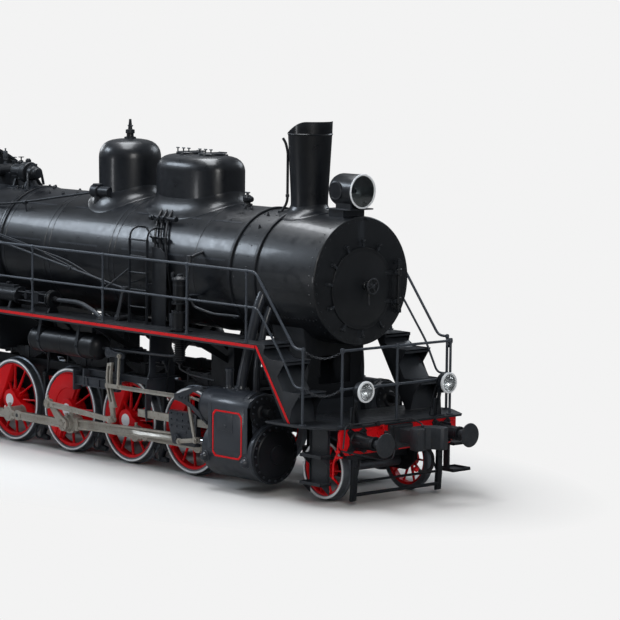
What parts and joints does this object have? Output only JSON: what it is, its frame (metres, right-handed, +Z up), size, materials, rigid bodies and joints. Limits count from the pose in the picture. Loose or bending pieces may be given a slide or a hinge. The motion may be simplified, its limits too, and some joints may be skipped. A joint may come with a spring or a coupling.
{
  "type": "steam locomotive",
  "caption": "Steam locomotive with a leading truck, ten coupled spoked wheels, outside cylinders and valve gear, long boiler with domes, open-backed cab and railed running boards.",
  "frame": {"origin": "middle of the bounding box at the height of the wheels' lowest points", "axes": "+X forward towards the smokebox door, +Y to the locomotive's left, +Z up"},
  "size_m": [12.62, 3.1, 5.165],
  "materials": {
    "black_paint": "gloss blue-black",
    "red_paint": "gloss bright red",
    "bare_steel": "worn, lightly oiled",
    "dark_steel": "dark oily"
  },
  "bodies": {
    "engine": {"air_pump": "black_paint", "air_reservoir_left": "black_paint", "air_reservoir_right": "black_paint", "boiler_barrel": "black_paint", "buffer_left": "dark_steel", "buffer_right": "dark_steel", "cab_floor": "black_paint", "cab_front": "black_paint", "cab_roof": "black_paint", "cab_side_left": "black_paint", "cab_side_right": "black_paint", "chimney": "black_paint", "coupler": "dark_steel", "crosshead_left": "dark_steel", "crosshead_right": "dark_steel", "cylinder_left": "black_paint", "cylinder_right": "black_paint", "door_hinge_pin": "black_paint", "eccentric_rod_left": "bare_steel", "eccentric_rod_right": "bare_steel", "firebox": "black_paint", "front_beam": "red_paint", "front_lamp_left": "black_paint", "front_lamp_right": "black_paint", "front_platform": "black_paint", "front_rail": "black_paint", "handrail_left": "black_paint", "handrail_right": "black_paint", "headlamp": "black_paint", "main_frame": "black_paint", "main_rod_left": "bare_steel", "main_rod_right": "bare_steel", "motion_bracket_left": "black_paint", "motion_bracket_right": "black_paint", "rail_guard": "black_paint", "running_board_left": "black_paint", "running_board_right": "black_paint", "sand_dome": "black_paint", "smokebox": "black_paint", "steam_dome": "black_paint", "valve_motion_left": "bare_steel", "valve_motion_right": "bare_steel"},
    "coupled_wheelset_1": {"driving_wheels_1": "red_paint"},
    "coupled_wheelset_2": {"driving_wheels_2": "red_paint"},
    "coupled_wheelset_3": {"driving_wheels_3": "red_paint"},
    "coupled_wheelset_4": {"driving_wheels_4": "red_paint"},
    "coupled_wheelset_5": {"driving_wheels_5": "red_paint"},
    "truck": {"leading_truck": "black_paint"},
    "leading_wheelset": {"leading_wheels": "red_paint"},
    "side_rods_right": {"front_side_rod_right": "bare_steel", "rear_side_rod_right": "bare_steel"},
    "cab_door_right_leaf": {"cab_door_right": "black_paint"},
    "side_rods_left": {"front_side_rod_left": "bare_steel", "rear_side_rod_left": "bare_steel"},
    "cab_door_left_leaf": {"cab_door_left": "black_paint"},
    "smokebox_door_leaf": {"smokebox_door": "black_paint"},
    "sand_lid_1_leaf": {"sand_lid_1": "black_paint"},
    "sand_lid_2_leaf": {"sand_lid_2": "black_paint"}
  },
  "joints": [
    {"name": "main_axle_spin", "type": "hinge", "parent": "engine", "child": "coupled_wheelset_3", "pos_m": [-0.69, 0, 0.66], "axis": [0, 1, 0], "continuous": true},
    {"name": "axle_1_spin", "type": "hinge", "parent": "engine", "child": "coupled_wheelset_1", "pos_m": [2.154, 0, 0.66], "axis": [0, 1, 0], "continuous": true},
    {"name": "axle_2_spin", "type": "hinge", "parent": "engine", "child": "coupled_wheelset_2", "pos_m": [0.732, 0, 0.66], "axis": [0, 1, 0], "continuous": true},
    {"name": "axle_4_spin", "type": "hinge", "parent": "engine", "child": "coupled_wheelset_4", "pos_m": [-2.112, 0, 0.66], "axis": [0, 1, 0], "continuous": true},
    {"name": "axle_5_spin", "type": "hinge", "parent": "engine", "child": "coupled_wheelset_5", "pos_m": [-3.534, 0, 0.66], "axis": [0, 1, 0], "continuous": true},
    {"name": "side_rods_right_turn", "type": "hinge", "parent": "coupled_wheelset_3", "child": "side_rods_right", "pos_m": [-0.3732, -0.98, 0.4986], "axis": [0, 1, 0], "continuous": true},
    {"name": "side_rods_left_turn", "type": "hinge", "parent": "coupled_wheelset_3", "child": "side_rods_left", "pos_m": [-0.5286, 0.98, 0.9768], "axis": [0, 1, 0], "continuous": true},
    {"name": "truck_swivel", "type": "hinge", "parent": "engine", "child": "truck", "pos_m": [3.76, 0, 0.5], "axis": [0, 0, 1], "range_deg": [-3, 3]},
    {"name": "leading_axle_spin", "type": "hinge", "parent": "truck", "child": "leading_wheelset", "pos_m": [4.973, 0, 0.448], "axis": [0, 1, 0], "continuous": true},
    {"name": "smokebox_door_hinge", "type": "hinge", "parent": "engine", "child": "smokebox_door_leaf", "pos_m": [4.8613, 0.64, 2.88], "axis": [0, 0, 1], "range_deg": [0, 110]},
    {"name": "cab_door_right_hinge", "type": "hinge", "parent": "engine", "child": "cab_door_right_leaf", "pos_m": [-4.654, -1.062, 2.92], "axis": [0, 0, 1], "range_deg": [0, 85]},
    {"name": "cab_door_left_hinge", "type": "hinge", "parent": "engine", "child": "cab_door_left_leaf", "pos_m": [-4.654, 1.062, 2.92], "axis": [0, 0, -1], "range_deg": [0, 85]},
    {"name": "sand_lid_1_hinge", "type": "hinge", "parent": "engine", "child": "sand_lid_1_leaf", "pos_m": [1.06, 0.22, 4.6103], "axis": [-1, 0, 0], "range_deg": [0, 100]},
    {"name": "sand_lid_2_hinge", "type": "hinge", "parent": "engine", "child": "sand_lid_2_leaf", "pos_m": [1.56, 0.22, 4.6103], "axis": [-1, 0, 0], "range_deg": [0, 100]}
  ],
  "couplings": [
    {"joint": "axle_1_spin", "follows": "main_axle_spin", "ratio": 1},
    {"joint": "axle_2_spin", "follows": "main_axle_spin", "ratio": 1},
    {"joint": "axle_4_spin", "follows": "main_axle_spin", "ratio": 1},
    {"joint": "axle_5_spin", "follows": "main_axle_spin", "ratio": 1},
    {"joint": "side_rods_right_turn", "follows": "main_axle_spin", "ratio": -1},
    {"joint": "side_rods_left_turn", "follows": "main_axle_spin", "ratio": -1}
  ]
}
